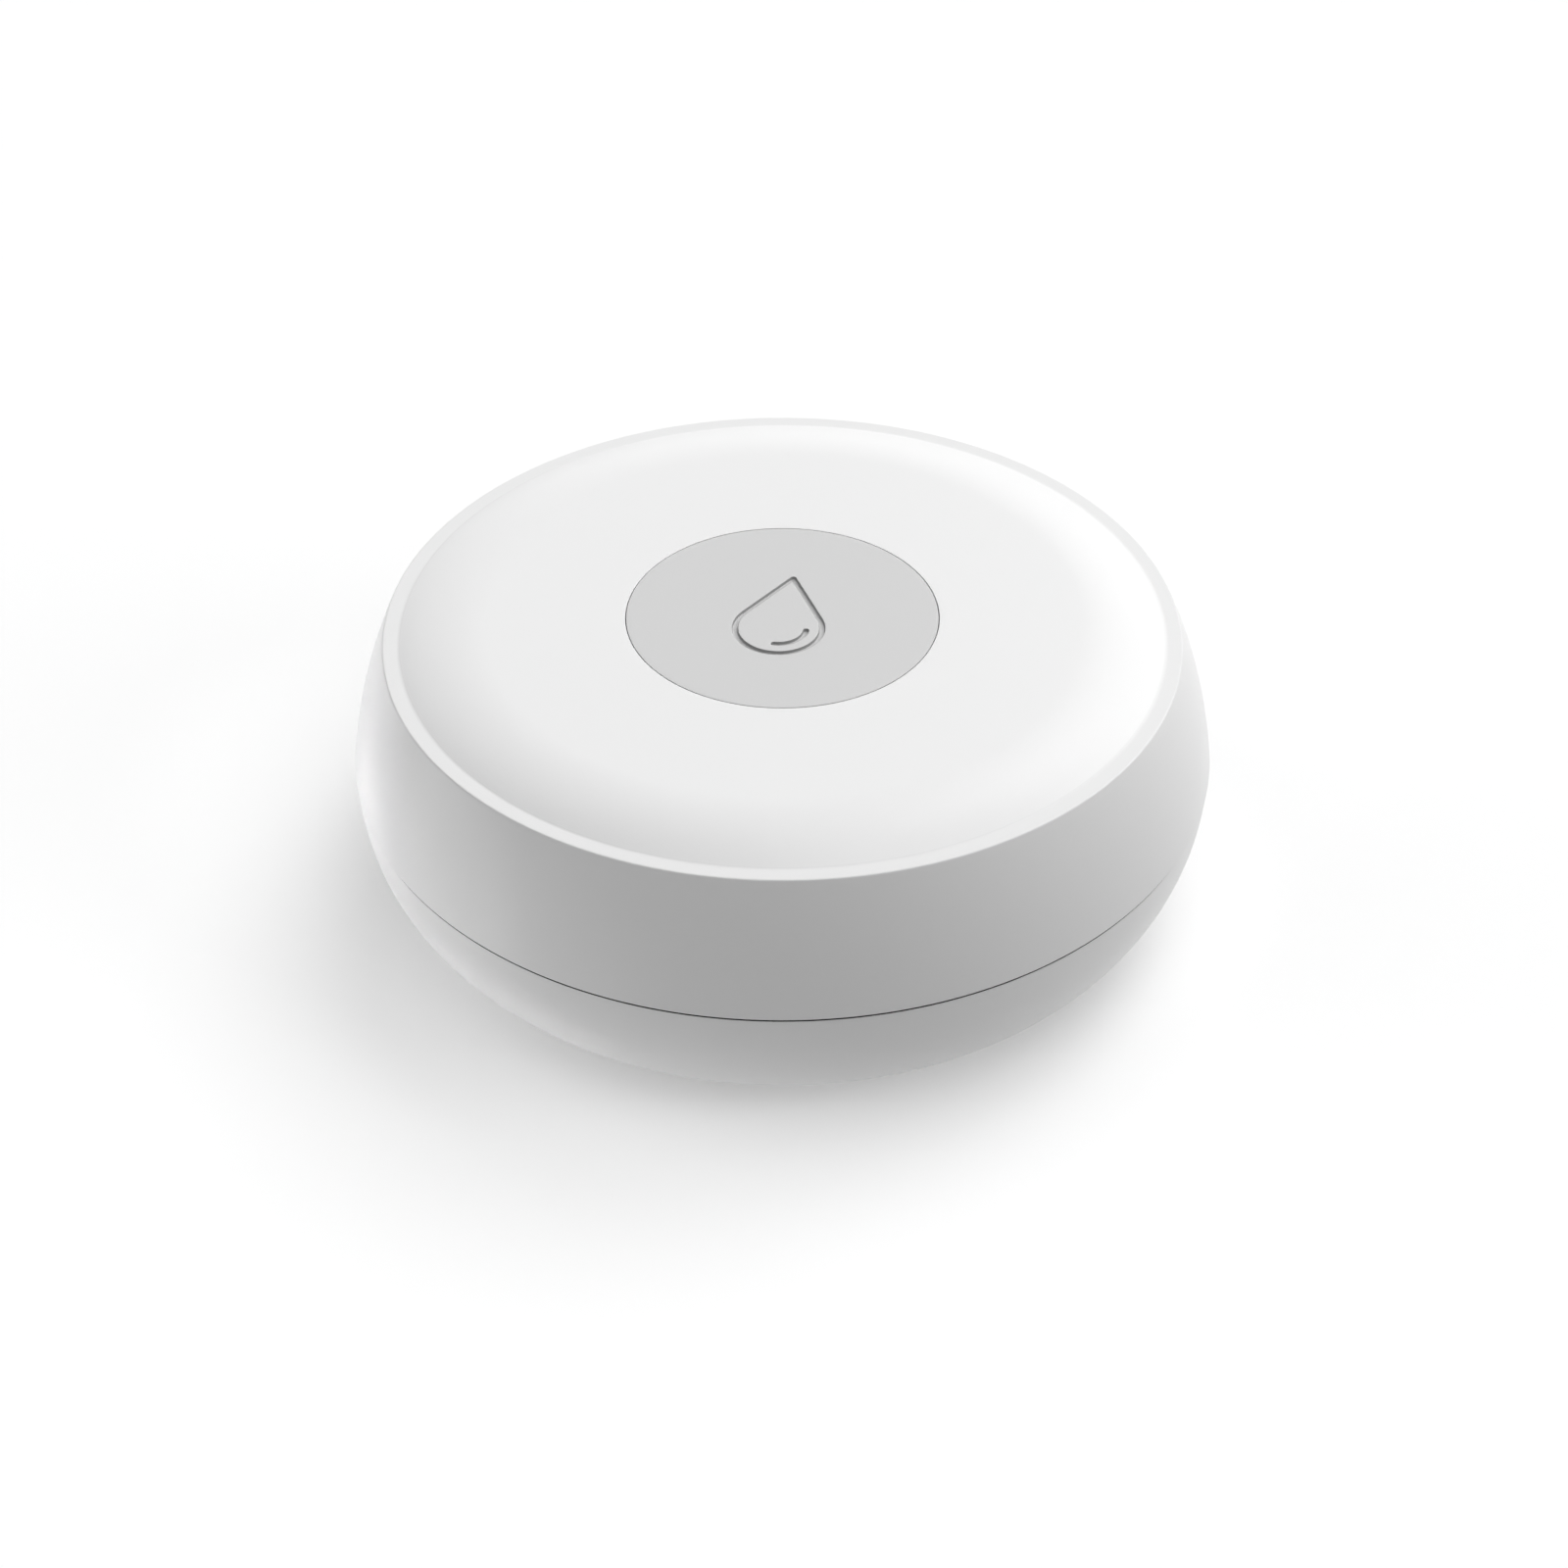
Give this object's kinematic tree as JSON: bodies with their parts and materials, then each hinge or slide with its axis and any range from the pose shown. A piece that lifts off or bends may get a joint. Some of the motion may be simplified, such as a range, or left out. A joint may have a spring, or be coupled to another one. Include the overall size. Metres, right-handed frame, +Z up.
{
  "type": "water leak sensor",
  "caption": "Round white water leak sensor: sealed puck with a large flush push button on top, probes, feet and a twist-off battery door underneath.",
  "frame": {"origin": "on the floor under the middle of the puck, level with the undersides of its feet", "axes": "+Z up through the button, +Y the way the tip of the drop on the button points, +X to its right"},
  "size_m": [0.068, 0.068, 0.0254],
  "materials": {
    "white_plastic": "satin",
    "grey_plastic": "satin",
    "clear_silicone": "soft matt",
    "seal_rubber": "soft matt",
    "foot_rubber": "soft matt",
    "screw_steel": "zinc plated",
    "sheet_steel": "tin plated",
    "gold_plate": "gold plated",
    "green_board": "solder mask",
    "blue_board": "solder mask",
    "black_plastic": "moulded",
    "led_lens": "clear",
    "sounder_brass": "brushed",
    "capacitor_can": "drawn",
    "ferrite": "sintered",
    "cell_can": "nickel plated"
  },
  "bodies": {
    "housing": {"upper_shell": "white_plastic", "lower_shell": "white_plastic", "housing_seal": "seal_rubber", "button_seal": "clear_silicone", "seal_clamp_ring": "white_plastic", "clamp_screws": "screw_steel", "circuit_board": "green_board", "board_screws": "screw_steel", "switch_body": "black_plastic", "switch_dome": "sheet_steel", "switch_cover": "sheet_steel", "status_led": "led_lens", "buzzer_case": "black_plastic", "buzzer_disc": "sounder_brass", "radio_board": "blue_board", "radio_shield": "sheet_steel", "reservoir_capacitor": "capacitor_can", "boost_inductor": "ferrite", "control_chips": "black_plastic", "coin_cell": "cell_can", "negative_contact": "gold_plate", "positive_contact": "gold_plate", "probe_pins": "gold_plate", "probe_seals": "seal_rubber", "probe_nuts": "gold_plate", "probe_contacts": "gold_plate", "case_screws": "screw_steel", "rubber_feet": "foot_rubber"},
    "button": {"button_cap": "grey_plastic"},
    "plunger": {"switch_plunger": "black_plastic"},
    "door": {"battery_door": "white_plastic", "door_seal": "seal_rubber"}
  },
  "joints": [
    {"name": "button_press", "type": "slide", "parent": "housing", "child": "button", "axis": [0, 0, -1], "range_m": [0, 0.0005], "stiffness_N_per_m": 600, "springref_m": -0.0025, "deforming": ["button_seal"]},
    {"name": "plunger_press", "type": "slide", "parent": "housing", "child": "plunger", "axis": [0, 0, -1], "range_m": [0, 0.0005], "deforming": ["switch_dome"]},
    {"name": "door_turn", "type": "hinge", "parent": "housing", "child": "door", "pos_m": [0, 0, 0.001], "axis": [0, 0, -1], "range_deg": [0, 40]}
  ],
  "couplings": [
    {"joint": "plunger_press", "follows": "button_press", "ratio": 1}
  ]
}
